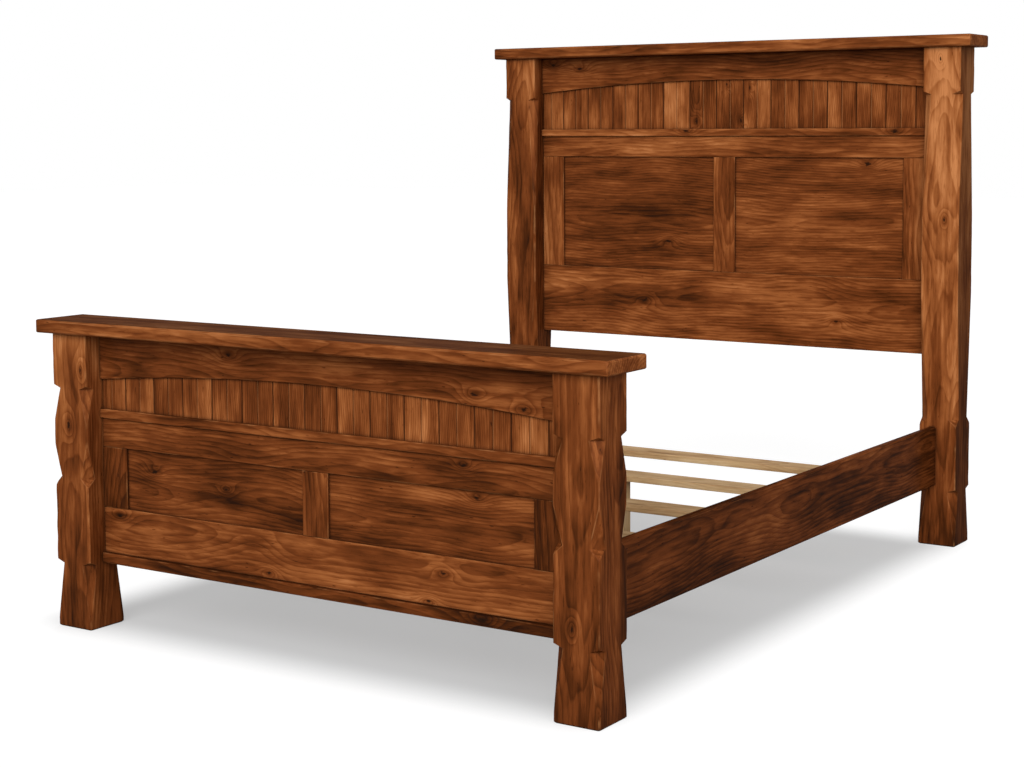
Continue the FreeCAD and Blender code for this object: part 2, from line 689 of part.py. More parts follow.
os.makedirs("parts", exist_ok=True)
for name, shape in nodes.items():
    shape.exportStep(os.path.join("parts", name + ".step"))
    print(name, "solids", len(shape.Solids), "valid", shape.isValid(), "volume", round(shape.Volume))
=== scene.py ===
import json
import math

import bmesh
import bpy
from mathutils import Matrix, Vector, noise

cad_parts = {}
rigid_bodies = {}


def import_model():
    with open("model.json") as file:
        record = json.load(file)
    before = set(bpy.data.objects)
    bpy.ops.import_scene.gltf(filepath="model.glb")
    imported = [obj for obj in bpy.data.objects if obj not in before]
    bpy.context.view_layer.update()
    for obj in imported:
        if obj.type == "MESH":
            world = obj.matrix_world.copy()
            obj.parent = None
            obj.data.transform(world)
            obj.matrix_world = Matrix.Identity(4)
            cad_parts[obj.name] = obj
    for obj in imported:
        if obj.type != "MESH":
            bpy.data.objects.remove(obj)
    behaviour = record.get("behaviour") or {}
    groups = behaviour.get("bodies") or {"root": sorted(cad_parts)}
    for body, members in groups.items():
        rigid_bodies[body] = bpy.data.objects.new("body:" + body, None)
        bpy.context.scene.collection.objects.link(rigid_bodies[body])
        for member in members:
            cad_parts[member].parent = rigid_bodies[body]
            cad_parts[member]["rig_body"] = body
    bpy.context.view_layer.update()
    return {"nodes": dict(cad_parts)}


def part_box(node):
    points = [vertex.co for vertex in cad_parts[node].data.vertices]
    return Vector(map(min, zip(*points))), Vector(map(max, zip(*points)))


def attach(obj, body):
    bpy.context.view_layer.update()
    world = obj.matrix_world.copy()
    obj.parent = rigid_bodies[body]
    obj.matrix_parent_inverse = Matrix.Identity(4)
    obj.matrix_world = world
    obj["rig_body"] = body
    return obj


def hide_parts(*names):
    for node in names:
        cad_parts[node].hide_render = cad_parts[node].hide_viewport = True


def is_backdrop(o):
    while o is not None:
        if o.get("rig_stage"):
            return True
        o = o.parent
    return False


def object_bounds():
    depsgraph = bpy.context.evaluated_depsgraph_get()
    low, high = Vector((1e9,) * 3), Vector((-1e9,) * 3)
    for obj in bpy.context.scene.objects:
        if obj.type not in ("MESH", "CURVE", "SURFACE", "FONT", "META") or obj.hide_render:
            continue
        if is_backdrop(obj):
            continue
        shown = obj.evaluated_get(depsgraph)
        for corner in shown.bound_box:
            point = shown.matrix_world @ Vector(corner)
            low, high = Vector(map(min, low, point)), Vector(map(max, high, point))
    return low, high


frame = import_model()


# Posts
# Four square timbers of knotty stained hardwood, which stand on the floor and carry everything else. Each
# corner has a long chamfer, carved by hand, that stops at a square block and closes where the post swells.
# The rail sockets are let into the inner faces.

class Socket:
    """An output of a shader node. Arithmetic on it adds Math nodes to its tree."""

    def __init__(self, tree, output):
        self.tree = tree
        self.output = output

    def node(self, kind, settings, inputs, output=0):
        """Adds a node with these settings and these values or links, and gives one of its outputs."""
        added = self.tree.nodes.new("ShaderNode" + kind)
        for name, value in settings.items():
            if name == "stops":
                ramp = added.color_ramp.elements
                while len(ramp) < len(value):
                    ramp.new(0.5)
                for element, (position, colour) in zip(ramp, value):
                    element.position = position
                    element.color = (*colour, 1.0)
            else:
                setattr(added, name, value)
        for name, value in inputs.items():
            if isinstance(value, Socket):
                self.tree.links.new(value.output, added.inputs[name])
            else:
                added.inputs[name].default_value = value
        return Socket(self.tree, added.outputs[output])

    def math(self, operation, first, second=0.0):
        return self.node("Math", {"operation": operation}, {0: first, 1: second})

    def vector(self, operation, other, output=0):
        return self.node("VectorMath", {"operation": operation}, {0: self, 1: other}, output)

    def cloud(self, seed, scale, detail, output=0):
        """Noise at a point, from 0 to 1."""
        inputs = {"Vector": self, "W": seed, "Scale": scale, "Detail": detail}
        return self.node("TexNoise", {"noise_dimensions": "4D"}, inputs, output)

    def between(self, low, high):
        """0 below low, 1 above high, and a smooth step from one to the other."""
        settings = {"interpolation_type": "SMOOTHSTEP"}
        return self.node("MapRange", settings, {"Value": self, "From Min": low, "From Max": high})

    def part(self, axis):
        """One coordinate of a vector."""
        return self.node("SeparateXYZ", {}, {0: self}, axis)

    def length(self):
        return self.vector("LENGTH", (0.0, 0.0, 0.0), "Value")

    def mixed(self, other, share):
        """This colour with a share of another laid over it."""
        return self.node("Mix", {"data_type": "RGBA"}, {0: share, 6: self, 7: other}, 2)

    def __add__(self, other):
        return self.math("ADD", self, other)

    def __radd__(self, other):
        return self.math("ADD", other, self)

    def __sub__(self, other):
        return self.math("SUBTRACT", self, other)

    def __rsub__(self, other):
        return self.math("SUBTRACT", other, self)

    def __mul__(self, other):
        return self.math("MULTIPLY", self, other)

    def __rmul__(self, other):
        return self.math("MULTIPLY", other, self)

    def __truediv__(self, other):
        return self.math("DIVIDE", self, other)

    def __rtruediv__(self, other):
        return self.math("DIVIDE", other, self)


STAIN = [
    (0.00, (0.022, 0.007, 0.003)),
    (0.22, (0.070, 0.018, 0.004)),
    (0.50, (0.178, 0.046, 0.011)),
    (0.74, (0.330, 0.103, 0.028)),
    (1.00, (0.560, 0.215, 0.074)),
]
# Colour of the glaze in the joints of boards and of the painted shade in corners, on V flanks and over faces
GLAZE_AND_SHADE = (0.030, 0.011, 0.005, 1.0)
# Colour of arrises rubbed lighter and of the painted highlight on V flanks
RUBBED_AND_HIGHLIGHT = (0.60, 0.27, 0.10, 1.0)
KNOT_HEART = (0.014, 0.006, 0.003, 1.0)
LACQUER = 0.04
PITH_WANDER = 0.09
RING_WAVE = 0.014
KNOT_BULGE = 0.030
# How far the painted shade reaches from a corner and from an inner corner
CORNER_REACH = 0.012
HOLLOW_REACH = 0.080
GRAIN_RELIEF = 0.0006
# How far below a face with painted shade that shade begins, and where it is full
SKIN = (0.0012, 0.0002)
# Boards: how far apart their logs are taken, the range of their tones, and the length of their patches
BOARD_SHIFT = (0.13, 0.05, 4.0)
BOARD_TONES = 0.13
BOARD_PATCH = 0.20
# Where the glaze of a joint ends, from the joint, and where the painted highlight on one flank of a V
# and the painted shade on the other begin and end, from its middle
JOINT_GLAZE = (0.0006, 0.0034)
FLANK_START = (0.0002, 0.0010)
FLANK_END = (0.0016, 0.0032)
# Layers of the grain: length and width of a streak, detail, part of the seed, and weight in the tone
GRAIN = {
    "patches": (0.55, 0.085, 2.0, 1.0, 1.00),
    "blotches": (0.16, 0.045, 2.0, 6.0, 0.70),
    "streaks": (0.36, 0.012, 3.0, 2.0, 0.55),
    "figure": (0.060, 0.0085, 2.0, 8.0, 0.40),
    "threads": (0.09, 0.0034, 2.0, 3.0, 0.15),
}


def fresh_material(name):
    """A new material, its shader, and the coordinates of the piece that wears it."""
    material = bpy.data.materials.new(name)
    material.use_nodes = True
    tree = material.node_tree
    shader = tree.nodes["Principled BSDF"]
    place = Socket(tree, tree.nodes.new("ShaderNodeTexCoord").outputs["Object"])
    return material, shader, place


def paint(shader, inputs):
    """Links or sets the inputs of a material's shader."""
    for name, value in inputs.items():
        if isinstance(value, Socket):
            value.tree.links.new(value.output, shader.inputs[name])
        else:
            shader.inputs[name].default_value = value


def stained_wood(
    name, grain, seed, pith, tone=0.0, ring=0.009, knots=(), boards=None, stain=STAIN, corner_shade_share=0.8, painted_light_rise=0.0,
    painted_shade_face=None, hollow_shade_share=0.46,
):
    """Wood cut from a log. The rings run round the pith, a line along the grain through the given point.

    A knot is a point and a radius, and the rings flow round it. Boards gives a joint and the width of
    boards that lie side by side along X, each of them from another log. Tone lightens the wood by a share
    of the stain's range, and the painted light by so much more for each metre upwards, so that the lower
    part is painted darker. The corner share scales the painted shade in and near corners, and the
    inner-corner share weights the wider part of that painted shade near an inner corner. A face with
    painted shade is given by its axis, its place on that axis and the share of painted shade that it keeps
    all over.
    """
    material, shader, place = fresh_material(name)
    along = "XYZ".index(grain)
    across_only = [1.0, 1.0, 1.0]
    across_only[along] = 0.0
    log = place
    shade = tone
    # Painted light: the wood is painted lighter upwards and darker towards the floor
    if painted_light_rise:
        shade = tone + painted_light_rise * place.part("Z")
    if boards:
        joint, width = boards
        count = (place.part("X") - joint) / width
        board = count.math("FLOOR", count)
        chance = place.node("TexWhiteNoise", {"noise_dimensions": "1D"}, {"W": board + seed}, "Color")
        log = place.vector("ADD", chance.vector("MULTIPLY", BOARD_SHIFT))
        share = place.node("TexWhiteNoise", {"noise_dimensions": "1D"}, {"W": board + seed + 0.5}, "Value")
        shade = shade + BOARD_TONES * (share - 0.5)

    def fibres(length, width, detail, part):
        """Noise drawn out along the grain, from 0 to 1. Length and width are those of one streak."""
        stretch = [1.0 / width] * 3
        stretch[along] = 1.0 / length
        return log.vector("MULTIPLY", stretch).cloud(seed + part, 1.0, detail)

    # Growth rings round a pith that wanders along the log
    wander = log.cloud(seed, 2.4, 1.0, "Color").vector("SUBTRACT", (0.5, 0.5, 0.5))
    drift = wander.vector("MULTIPLY", [PITH_WANDER * free for free in across_only])
    spoke = log.vector("SUBTRACT", pith).vector("MULTIPLY", across_only).vector("ADD", drift)
    radius = spoke.length() + RING_WAVE * fibres(0.24, 0.035, 2.0, 7.0)
    heart = 0.0
    halo = 0.0
    for point, size in knots:
        from_knot = place.vector("SUBTRACT", point)
        pull = [1.0 / size] * 3
        pull[along] = 0.52 / size
        reach = from_knot.vector("MULTIPLY", pull).length()
        pull[along] = 0.10 / size
        tail = from_knot.vector("MULTIPLY", pull).length()
        ragged = reach + 2.0 * (fibres(0.012, 0.005, 2.0, 11.0) - 0.5)
        swirl = 1.0 / (1.0 + reach * reach * 0.06)
        radius = radius + KNOT_BULGE * swirl * swirl
        heart = heart + (1.0 - ragged.between(0.30, 0.85))
        halo = halo + 0.7 * (1.0 - reach.between(0.7, 2.6)) + 0.35 * (1.0 - tail.between(0.1, 1.2))
        from_collar = reach - 3.0
        halo = halo - 0.35 * (1.0 - from_collar.math("ABSOLUTE", from_collar).between(0.2, 1.6))
    rings = radius / ring
    sweep = rings.math("FRACT", rings)
    late_wood = sweep * sweep * (1.0 - sweep.between(0.86, 1.0))

    # Heartwood and sapwood, streaks of stain, fibres, pores and mineral flecks
    layers = {}
    depth = 0.5 + shade
    for layer, (length, breadth, detail, part, weight) in GRAIN.items():
        if boards and layer == "patches":
            length = BOARD_PATCH
        layers[layer] = fibres(length, breadth, detail, part)
        depth = depth + weight * (layers[layer] - 0.5)
    early_wood = 1.0 - sweep.between(0.10, 0.55)
    pores = fibres(0.030, 0.0026, 1.0, 4.0).between(0.55, 0.70) * (0.35 + 0.65 * early_wood)
    flecks = fibres(0.024, 0.0050, 1.0, 9.0).between(0.71, 0.80)
    depth = depth - 0.24 * (late_wood - 0.2) - 0.15 * (pores - 0.12) - 0.35 * flecks - 0.14 * halo
    colour = depth.node("ValToRGB", {"stops": stain}, {"Fac": depth})

    # Painted shade in the corners and near them, dark glaze along the joints of boards, a painted highlight
    # and a painted shade on the two flanks of each V, painted shade over a chosen face, and arrises that are
    # rubbed lighter
    tight = place.node("AmbientOcclusion", {"samples": 6}, {"Distance": CORNER_REACH}, "AO")
    wide = place.node("AmbientOcclusion", {"samples": 6}, {"Distance": HOLLOW_REACH}, "AO")
    slit_shade = 0.80 * (1.0 - tight).between(0.12, 0.56)
    hollow_shade = hollow_shade_share * (1.0 - wide).between(0.05, 0.62)
    corners = corner_shade_share * slit_shade.math("MAXIMUM", slit_shade, hollow_shade)
    if boards:
        from_centre = (count - board - 0.5) * width
        from_joint = 0.5 * width - from_centre.math("ABSOLUTE", from_centre)
        corners = corners.math("MAXIMUM", corners, 0.85 * (1.0 - from_joint.between(*JOINT_GLAZE)))
        # Painted highlight on one flank of each V and painted shade on the other, as if lit from one side
        highlit_flank, shaded_flank = (
            off.between(*FLANK_START) * (1.0 - off.between(*FLANK_END))
            for off in (from_centre, 0.0 - from_centre)
        )
        corners = corners.math("MAXIMUM", corners, 0.40 * shaded_flank)
        colour = colour.mixed(RUBBED_AND_HIGHLIGHT, 0.75 * highlit_flank)
    # Painted shade over the whole of one face
    if painted_shade_face:
        axis, limit, share = painted_shade_face
        outermost = place.part(axis).between(limit - SKIN[0], limit - SKIN[1])
        corners = corners.math("MAXIMUM", corners, share * outermost)
    arris = place.node("Attribute", {"attribute_name": "arris"}, {}, "Fac")
    rubbed = arris * fibres(0.06, 0.03, 2.0, 5.0).between(0.42, 0.70)
    colour = colour.mixed(RUBBED_AND_HIGHLIGHT, 0.34 * rubbed)
    colour = colour.mixed(GLAZE_AND_SHADE, corners)
    if knots:
        colour = colour.mixed(KNOT_HEART, 0.92 * heart)

    streaks = layers["streaks"]
    relief = 0.45 * layers["threads"] - 0.5 * late_wood - 0.6 * pores + 0.5 * streaks
    normal = place.node("Bump", {}, {"Strength": 0.35, "Distance": GRAIN_RELIEF, "Height": relief}, "Normal")
    matt = 0.52 + 0.20 * (streaks - 0.5) + 0.15 * pores
    shine = LACQUER * (1.0 - 0.6 * corners - 0.3 * pores)
    paint(shader, {
        "Base Color": colour, "Roughness": matt, "Normal": normal, "Specular IOR Level": 0.0,
        "Coat Weight": shine, "Coat Roughness": 0.26,
    })
    return material


CRISP = math.radians(40)


def stand_for(node, shape, material):
    """A finished mesh that takes the place of a frame node, on the same body."""
    mesh = bpy.data.meshes.new(node + "_finished")
    shape.to_mesh(mesh)
    shape.free()
    mesh.shade_smooth()
    mesh.set_sharp_from_angle(angle=CRISP)
    mesh.materials.append(material)
    piece = bpy.data.objects.new(node + "_finished", mesh)
    bpy.context.scene.collection.objects.link(piece)
    flatten = piece.modifiers.new("Flat faces", "WEIGHTED_NORMAL")
    flatten.weight = 90
    flatten.keep_sharp = True
    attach(piece, frame["nodes"][node]["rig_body"])
    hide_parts(node)


CARVE_LEG = 0.027
ANKLE_HEIGHT = 0.176
CARVE_STOP = 0.009
BLOCK_HEIGHT = 0.203
BLOCK_LEDGE = 0.023
TOP_BLOCK = 0.140
SWELL_ROUND = 0.55
CARVE_WAVER = 0.07
POST_ARRIS = 0.0034
POST_STEP = 0.009
ARRIS_ROUND = 0.0024
CORNER_POINTS = 6
RING_POINTS = 4 * CORNER_POINTS
MERGE = 0.00002
PLATE_WIDTH = 0.016
HOOK_SPACING = 0.060
POCKET_WIDTH = 0.0088
POCKET_DROP = 0.016
POCKET_RISE = 0.0258
POCKET_DEPTH = 0.0064


def post_breaks(height):
    """The heights where the carving of a post changes."""
    block_low = ANKLE_HEIGHT + CARVE_STOP
    block_top = block_low + BLOCK_HEIGHT
    low = block_top + BLOCK_LEDGE
    high = height - TOP_BLOCK - CARVE_STOP
    return block_low, block_top, low, high


def chamfer_leg(z, height):
    """How far a carved chamfer comes in along the faces of a post at a height."""
    block_low, block_top, low, high = post_breaks(height)
    if z <= ANKLE_HEIGHT:
        return CARVE_LEG * z / ANKLE_HEIGHT
    if z <= block_low:
        return CARVE_LEG * (block_low - z) / CARVE_STOP
    if z <= block_top:
        return 0.0
    if z <= low:
        return CARVE_LEG * (z - block_top) / BLOCK_LEDGE
    if z <= high:
        depth = CARVE_LEG / math.sqrt(2)
        half = (high - low) / 2
        from_swell = abs(z - (low + high) / 2)
        radius = SWELL_ROUND * (half ** 2 + depth ** 2) / (2 * depth)
        reach = math.hypot(half, radius - depth)
        slope = math.atan2(radius - depth, half) - math.asin(radius / reach)
        straight = math.sqrt(reach ** 2 - radius ** 2)
        touch = half - straight * math.cos(slope)
        if from_swell > touch:
            return math.sqrt(2) * (depth + (half - from_swell) * math.tan(slope))
        return math.sqrt(2) * (radius - math.sqrt(radius ** 2 - from_swell ** 2))
    if z <= high + CARVE_STOP:
        return CARVE_LEG * (high + CARVE_STOP - z) / CARVE_STOP
    return 0.0


def worn(point, seed):
    """Uneven wear from about 0 to 1 at a point of an arris."""
    far = noise.noise(point * 7.0 + Vector((seed, 0, 0)))
    near = noise.noise(point * 31.0 + Vector((0, seed, 0)))
    return min(1.0, max(0.0, 0.35 + 0.5 * far + 0.45 * near))


def post_ring(middle, half, z, leg, seed):
    """The outline of a post at one height: four corners, each a chamfer with two rounded arrises."""
    points = []
    for quarter in range(4):
        turn = Matrix.Rotation(quarter * math.pi / 2, 2)
        corner = turn @ Vector((half, half))
        wear = worn(Vector((middle.x + corner.x, middle.y + corner.y, z)), seed)
        cut = max(leg * (1.0 + CARVE_WAVER * (wear - 0.35)), POST_ARRIS * (0.55 + 1.1 * wear))
        ease = min(ARRIS_ROUND, 0.4 * cut)
        first = Vector((half, half - cut))
        last = Vector((half - cut, half))
        run = (last - first).normalized()
        first_low = first - Vector((0, ease))
        first_high = first + run * ease
        last_low = last - run * ease
        last_high = last - Vector((ease, 0))
        outline = [
            first_low, (first_low + first * 2 + first_high) / 4, first_high,
            last_low, (last_low + last * 2 + last_high) / 4, last_high,
        ]
        points += [turn @ point for point in outline]
    return [Vector((middle.x + point.x, middle.y + point.y, z)) for point in points]


def carved_post(node, seed):
    """A post: a grid rolled up into rings, one above the other, and closed at both ends."""
    low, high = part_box(node)
    middle = (low + high) / 2
    half = (high.x - low.x) / 2
    height = high.z
    block_low, block_top, waist_low, waist_high = post_breaks(height)
    stops = [
        0.0, POST_ARRIS, ANKLE_HEIGHT, block_low, block_top, waist_low, (waist_low + waist_high) / 2,
        waist_high, waist_high + CARVE_STOP, height,
    ]
    heights = [0.0]
    for below, above in zip(stops, stops[1:]):
        count = max(1, round((above - below) / POST_STEP))
        heights += [below + (above - below) * i / count for i in range(1, count + 1)]
    shape = bmesh.new()
    arris = shape.verts.layers.float.new("arris")
    rows = len(heights) - 1
    bmesh.ops.create_grid(shape, x_segments=RING_POINTS, y_segments=rows, size=0.5)
    outlines = []
    for z in heights:
        easing = POST_ARRIS if z == 0.0 else 0.0
        outlines.append(post_ring(middle, half - easing, z, chamfer_leg(z, height), seed))
    for vertex in shape.verts:
        column = round((vertex.co.x + 0.5) * RING_POINTS) % RING_POINTS
        row = round((vertex.co.y + 0.5) * rows)
        leg = chamfer_leg(heights[row], height)
        on_round = column % 3 == 1
        on_small_arris = leg < POST_ARRIS and 0 < column % CORNER_POINTS < CORNER_POINTS - 1
        vertex[arris] = 1.0 if on_round or on_small_arris else 0.0
        vertex.co = outlines[row][column]
    bmesh.ops.remove_doubles(shape, verts=shape.verts, dist=MERGE)
    ends = [edge for edge in shape.edges if edge.is_boundary]
    bmesh.ops.holes_fill(shape, edges=ends, sides=RING_POINTS)
    bmesh.ops.recalc_face_normals(shape, faces=shape.faces)
    return shape


def on_plane(shape, y):
    """The faces of a mesh that lie in a plane across Y."""
    return [face for face in shape.faces if all(abs(vertex.co.y - y) < MERGE for vertex in face.verts)]


def sink(shape, face_y, inward, x_range, z_range, depth):
    """Lets a square-cornered recess into a face that looks along Y."""
    for axis, limits in ((0, x_range), (2, z_range)):
        for limit in limits:
            point = [0.0, 0.0, 0.0]
            point[axis] = limit
            normal = [0.0, 0.0, 0.0]
            normal[axis] = 1.0
            skin = on_plane(shape, face_y)
            edges = dict.fromkeys(edge for face in skin for edge in face.edges)
            corners = dict.fromkeys(vertex for face in skin for vertex in face.verts)
            bmesh.ops.bisect_plane(
                shape, geom=[*skin, *edges, *corners], dist=MERGE, plane_co=point, plane_no=normal,
            )
    floor = []
    for face in on_plane(shape, face_y):
        middle = face.calc_center_median()
        if x_range[0] < middle.x < x_range[1] and z_range[0] < middle.z < z_range[1]:
            floor.append(face)
    grown = bmesh.ops.extrude_face_region(shape, geom=floor)["geom"]
    sunk = [item for item in grown if isinstance(item, bmesh.types.BMVert)]
    bmesh.ops.delete(shape, geom=floor, context="FACES")
    bmesh.ops.translate(shape, verts=sunk, vec=(0.0, inward * depth, 0.0))


def let_in_socket(shape, node):
    """Cuts the recess of a rail socket and the two pockets behind it, where the hooks hang."""
    end = node.split("_")[0]
    low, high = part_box(node)
    plate_low, plate_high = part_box(end + "_hook_sockets")
    side = 1 if low.x > 0 else -1
    x_range = sorted((side * (plate_high.x - PLATE_WIDTH), side * plate_high.x))
    plate_x = sum(x_range) / 2
    face_y = low.y if end == "headboard" else high.y
    inward = 1 if end == "headboard" else -1
    thick = plate_high.y - plate_low.y
    sink(shape, face_y, inward, x_range, (plate_low.z, plate_high.z), thick)
    middle = (plate_low.z + plate_high.z) / 2
    for step in (-1, 1):
        hook_z = middle + step * HOOK_SPACING / 2
        pocket_x = (plate_x - POCKET_WIDTH / 2, plate_x + POCKET_WIDTH / 2)
        pocket_z = (hook_z - POCKET_DROP, hook_z + POCKET_RISE)
        sink(shape, face_y + inward * thick, inward, pocket_x, pocket_z, POCKET_DEPTH)


POST_KNOTS = {
    "footboard_left_post": [((-0.803, -1.165, 0.556), 0.008), ((-0.755, -1.165, 0.708), 0.005)],
    "footboard_right_post": [((0.788, -1.165, 0.223), 0.006)],
    "headboard_left_post": [],
    "headboard_right_post": [((0.793, 1.046, 1.560), 0.005), ((0.812, 1.046, 1.05), 0.006)],
}
# Each post is painted lighter upwards and darker towards the floor, the headboard's right post has painted
# shade over its outer side, and the posts keep only a little painted shade near inner corners.
for node, seed, tone, painted_light_rise, side_shade in (
    ("footboard_left_post", 2.0, -0.15, 0.42, 0.0),
    ("footboard_right_post", 7.0, -0.21, 0.26, 0.0),
    ("headboard_left_post", 9.0, -0.28, 0.20, 0.0),
    ("headboard_right_post", 13.0, -0.14, 0.36, 0.45),
):
    low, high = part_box(node)
    middle = (low + high) / 2
    pith = (middle.x + 0.01, middle.y + 0.04, 0.0)
    painted_shade_face = ("X", high.x, side_shade) if side_shade else None
    material = stained_wood(
        node + "_wood", "Z", seed, pith, tone, knots=POST_KNOTS[node], painted_light_rise=painted_light_rise, painted_shade_face=painted_shade_face,
        hollow_shade_share=0.16,
    )
    timber = carved_post(node, seed)
    let_in_socket(timber, node)
    stand_for(node, timber, material)


# Cross rails, stiles and muntins
# The frames of the panel work, in the same stained wood. Long rails are tenoned into the posts, and short
# uprights stand between them on stub tenons. Grooves in their edges take the panels.

PLANAR = math.radians(0.5)
SHARP = math.radians(30)
SHORTEST_ARRIS = 0.025
RAIL_ARRIS = 0.0022
RAIL_STEP = 0.02
RAIL_WEAR = 0.0012


def rounded_copy(node, arris, shortest):
    """A copy of a frame node with every sharp outer edge rounded that is longer than the shortest."""
    shape = bmesh.new()
    shape.from_mesh(frame["nodes"][node].data)
    rounded = shape.faces.layers.int.new("rounded")
    bmesh.ops.remove_doubles(shape, verts=shape.verts, dist=MERGE)
    bmesh.ops.dissolve_limit(shape, angle_limit=PLANAR, verts=shape.verts, edges=shape.edges)
    arrises = [
        edge for edge in shape.edges
        if edge.is_convex and edge.calc_face_angle(0.0) > SHARP and edge.calc_length() > shortest
    ]
    bevelled = bmesh.ops.bevel(
        shape, geom=arrises, offset=arris, offset_type="OFFSET", segments=4, profile=0.5,
        affect="EDGES", clamp_overlap=True, material=-1,
    )
    for face in bevelled["faces"]:
        face[rounded] = 1
    return shape


def eased(node, arris, along, step, wear, seed):
    """A rounded copy of a wooden node, cut across at even steps so that its arrises can wear unevenly."""
    shape = rounded_copy(node, arris, SHORTEST_ARRIS)
    rounded = shape.faces.layers.int["rounded"]
    rubbed = shape.verts.layers.float.new("arris")
    axis = "XYZ".index(along)
    low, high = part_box(node)
    normal = [0.0, 0.0, 0.0]
    normal[axis] = 1.0
    count = round((high[axis] - low[axis]) / step)
    for i in range(1, count):
        cut = [0.0, 0.0, 0.0]
        cut[axis] = low[axis] + (high[axis] - low[axis]) * i / count
        everything = shape.verts[:] + shape.edges[:] + shape.faces[:]
        bmesh.ops.bisect_plane(shape, geom=everything, dist=MERGE, plane_co=cut, plane_no=normal)
    shape.normal_update()
    for vertex in shape.verts:
        if all(face[rounded] for face in vertex.link_faces):
            vertex[rubbed] = 1.0
            vertex.co -= vertex.normal * wear * worn(vertex.co, seed)
    return shape


RAIL_KNOTS = {
    "footboard_top_rail": [((0.453, -1.107, 0.555), 0.005)],
    "footboard_bottom_rail": [
        ((-0.677, -1.107, 0.313), 0.007),
        ((-0.193, -1.085, 0.289), 0.016),
        ((-0.153, -1.107, 0.222), 0.005),
        ((0.393, -1.107, 0.290), 0.007),
        ((0.346, -1.107, 0.216), 0.005),
    ],
    "headboard_top_rail": [],
    "headboard_bottom_rail": [((-0.31, 1.104, 0.74), 0.008), ((0.42, 1.104, 0.70), 0.006)],
}
# The footboard's stiles, the right one most, are toned darker as painted shade for the shadows of the posts
# beside them.
FRAME_TONES = {
    "footboard_top_rail": -0.10,
    "footboard_bottom_rail": 0.085,
    "headboard_top_rail": 0.09,
    "headboard_bottom_rail": 0.02,
    "footboard_left_stile": -0.19,
    "footboard_right_stile": -0.30,
    "footboard_muntin": -0.13,
    "headboard_left_stile": 0.05,
    "headboard_right_stile": 0.12,
    "headboard_muntin": -0.02,
}
for end, seed in (("footboard", 20.0), ("headboard", 40.0)):
    for part, off_middle, shift in (("_top_rail", -0.05, 1.0), ("_bottom_rail", 0.03, 2.0)):
        node = end + part
        low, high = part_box(node)
        pith = (0.0, high.y + 0.03, (low.z + high.z) / 2 + off_middle)
        tone = FRAME_TONES[node]
        material = stained_wood(node + "_wood", "X", seed + shift, pith, tone, knots=RAIL_KNOTS[node])
        stand_for(node, eased(node, RAIL_ARRIS, "X", RAIL_STEP, RAIL_WEAR, seed), material)
    for part, shift in (("_left_stile", 3.0), ("_right_stile", 4.0), ("_muntin", 5.0)):
        node = end + part
        low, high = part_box(node)
        pith = ((low.x + high.x) / 2 + 0.03, high.y + 0.05, 0.0)
        material = stained_wood(node + "_wood", "Z", seed + shift, pith, FRAME_TONES[node])
        stand_for(node, eased(node, RAIL_ARRIS, "Z", RAIL_STEP, RAIL_WEAR, seed), material)


# Panels
# Thin flat boards of the same stained wood. They are not glued, but float in the grooves of the frames, which
# leave them room to swell.

def dress(node, material):
    """Gives a frame node its finish."""
    mesh = frame["nodes"][node].data
    mesh.materials.clear()
    mesh.materials.append(material)


PANEL_KNOTS = {
    "footboard_left_panel": [((-0.554, -1.099, 0.442), 0.007), ((-0.30, -1.099, 0.42), 0.004)],
    "footboard_right_panel": [((0.484, -1.099, 0.478), 0.006)],
    "headboard_left_panel": [((-0.22, 1.111, 0.95), 0.007)],
    "headboard_right_panel": [((0.523, 1.111, 1.225), 0.008)],
}
for node, seed, tone in (
    ("footboard_left_panel", 61.0, -0.09),
    ("footboard_right_panel", 62.0, -0.09),
    ("headboard_left_panel", 71.0, -0.09),
    ("headboard_right_panel", 72.0, -0.02),
):
    low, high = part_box(node)
    pith = (0.0, high.y + 0.03, (low.z + high.z) / 2 - 0.02)
    # Panels keep almost all of the painted shade near their frames.
    material = stained_wood(node + "_wood", "X", seed, pith, tone, knots=PANEL_KNOTS[node], hollow_shade_share=0.95)
    dress(node, material)


# Ledge strips and base strip
# Strips of the same wood that stand proud of the frame, glued on: one under each field of boards, with a slot
# along its top that their lower ends stand in, and one under the footboard.

STRIP_ARRIS = 0.0025
STRIP_WEAR = 0.0014
STRIP_KNOTS = {
    "footboard_ledge_strip": [],
    "headboard_ledge_strip": [((0.623, 1.095, 1.331), 0.008), ((-0.144, 1.095, 1.335), 0.007)],
    "footboard_base_strip": [((0.51, -1.117, 0.196), 0.008)],
}
for node, seed, tone in (
    ("footboard_ledge_strip", 80.0, 0.01),
    ("headboard_ledge_strip", 83.0, 0.08),
    ("footboard_base_strip", 86.0, -0.20),
):
    low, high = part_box(node)
    pith = (0.0, high.y + 0.04, low.z - 0.03)
    material = stained_wood(node + "_wood", "X", seed, pith, tone, knots=STRIP_KNOTS[node])
    stand_for(node, eased(node, STRIP_ARRIS, "X", RAIL_STEP, STRIP_WEAR, seed), material)


# Tongue-and-groove boards
# Narrow upright boards with bevelled edges and a V down the middle of each, from wood with finer rings. They
# lock edge to edge and stand in slots of the ledge strip and the arched rail.

PLANK_RING = 0.006
PLANK_FACE = 0.103
FIRST_JOINT = -0.650
PLANK_KNOTS = [
    ((0.007, 1.107, 1.492), 0.005), ((0.095, 1.107, 1.481), 0.005),
    ((0.061, 1.107, 1.369), 0.006), ((-0.109, 1.107, 1.369), 0.006),
]
for node, seed, tone, knots in (
    ("footboard_planks", 90.0, 0.04, []),
    ("headboard_planks", 95.0, 0.03, PLANK_KNOTS),
):
    low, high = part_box(node)
    pith = (0.0, high.y + 0.04, 0.0)
    joints = (FIRST_JOINT - 2 * PLANK_FACE, PLANK_FACE)
    dress(node, stained_wood(node + "_wood", "Z", seed, pith, tone, PLANK_RING, knots, joints))


